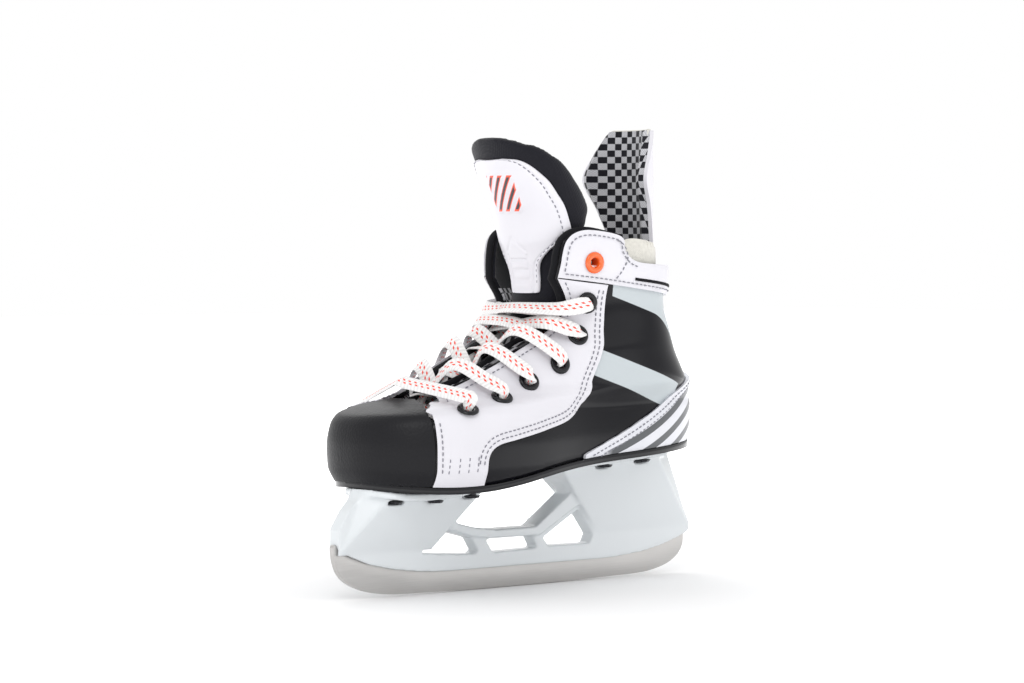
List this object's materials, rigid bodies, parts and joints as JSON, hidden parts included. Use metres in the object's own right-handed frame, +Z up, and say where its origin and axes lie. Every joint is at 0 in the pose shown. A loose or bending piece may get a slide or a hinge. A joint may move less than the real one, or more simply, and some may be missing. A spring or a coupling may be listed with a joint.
{
  "type": "ice hockey skate",
  "caption": "Youth lace-up ice hockey boot on a moulded holder with a rockered steel runner, padded tongue and flexing tendon guard.",
  "frame": {"origin": "middle of the steel runner's underside, where the skate meets the ice", "axes": "+Z up, toe towards -X, outer side of a left foot towards -Y"},
  "size_m": [0.222, 0.0913, 0.2205],
  "materials": {
    "runner": "satin ground steel",
    "holder": "gloss moulded",
    "hardware": "satin",
    "outsole": "gloss",
    "insole_board": "pressed fibre board",
    "footbed": "felt over foam",
    "toe_cap": "grained moulded",
    "quarter": "black patent synthetic leather",
    "facing": "white synthetic leather, stitched",
    "collar_pad": "cream brushed lining over foam",
    "liner": "woven black and grey check",
    "heel_wrap": "white synthetic leather with dark printed stripes",
    "eyelet": "gloss black",
    "top_eyelet": "gloss orange",
    "tongue": "black brushed fabric over felt",
    "tongue_panel": "white synthetic leather, embossed",
    "tendon_guard": "white moulded with a cream foam edge",
    "guard_lining": "woven black and grey check",
    "lace": "white flat braid with red tracer threads",
    "lace_tie": "matt",
    "aglet": "clear film"
  },
  "bodies": {
    "boot": {"runner": "runner", "blade_holder": "holder", "rivet_front_1_lateral": "hardware", "rivet_front_1_medial": "hardware", "rivet_front_2_lateral": "hardware", "rivet_front_2_medial": "hardware", "rivet_front_3_lateral": "hardware", "rivet_front_3_medial": "hardware", "rivet_rear_1_lateral": "hardware", "rivet_rear_1_medial": "hardware", "rivet_rear_2_lateral": "hardware", "rivet_rear_2_medial": "hardware", "runner_stud_front": "hardware", "runner_nut_front": "hardware", "runner_stud_rear": "hardware", "runner_nut_rear": "hardware", "outsole": "outsole", "insole_board": "insole_board", "footbed": "footbed", "toe_cap": "toe_cap", "quarter_lateral": "quarter", "facing_lateral": "facing", "collar_lateral": "facing", "ankle_pad_lateral": "collar_pad", "liner_lateral": "liner", "quarter_medial": "quarter", "facing_medial": "facing", "collar_medial": "facing", "ankle_pad_medial": "collar_pad", "liner_medial": "liner", "heel_wrap": "heel_wrap", "eyelet_1_lateral": "eyelet", "eyelet_2_lateral": "eyelet", "eyelet_3_lateral": "eyelet", "eyelet_4_lateral": "eyelet", "eyelet_5_lateral": "eyelet", "eyelet_6_lateral": "eyelet", "eyelet_top_lateral": "top_eyelet", "eyelet_1_medial": "eyelet", "eyelet_2_medial": "eyelet", "eyelet_3_medial": "eyelet", "eyelet_4_medial": "eyelet", "eyelet_5_medial": "eyelet", "eyelet_6_medial": "eyelet", "eyelet_top_medial": "top_eyelet", "tongue_lower": "tongue", "lace": "lace", "lace_hank": "lace", "lace_tie": "lace_tie", "lace_end_lateral": "lace", "aglet_lateral": "aglet", "lace_end_medial": "lace", "aglet_medial": "aglet"},
    "tongue_top": {"tongue_upper": "tongue", "tongue_panel": "tongue_panel"},
    "guard": {"tendon_guard": "tendon_guard", "tendon_guard_lining": "guard_lining"}
  },
  "joints": [
    {"name": "tongue_fold", "type": "hinge", "parent": "boot", "child": "tongue_top", "pos_m": [0.008, 0, 0.137], "axis": [0, -1, 0], "range_deg": [-8, 50], "stiffness_Nm_per_rad": 0.6},
    {"name": "tendon_guard_flex", "type": "hinge", "parent": "boot", "child": "guard", "pos_m": [0.084, 0, 0.1555], "axis": [0, 1, 0], "range_deg": [-8, 25], "stiffness_Nm_per_rad": 0.8}
  ]
}
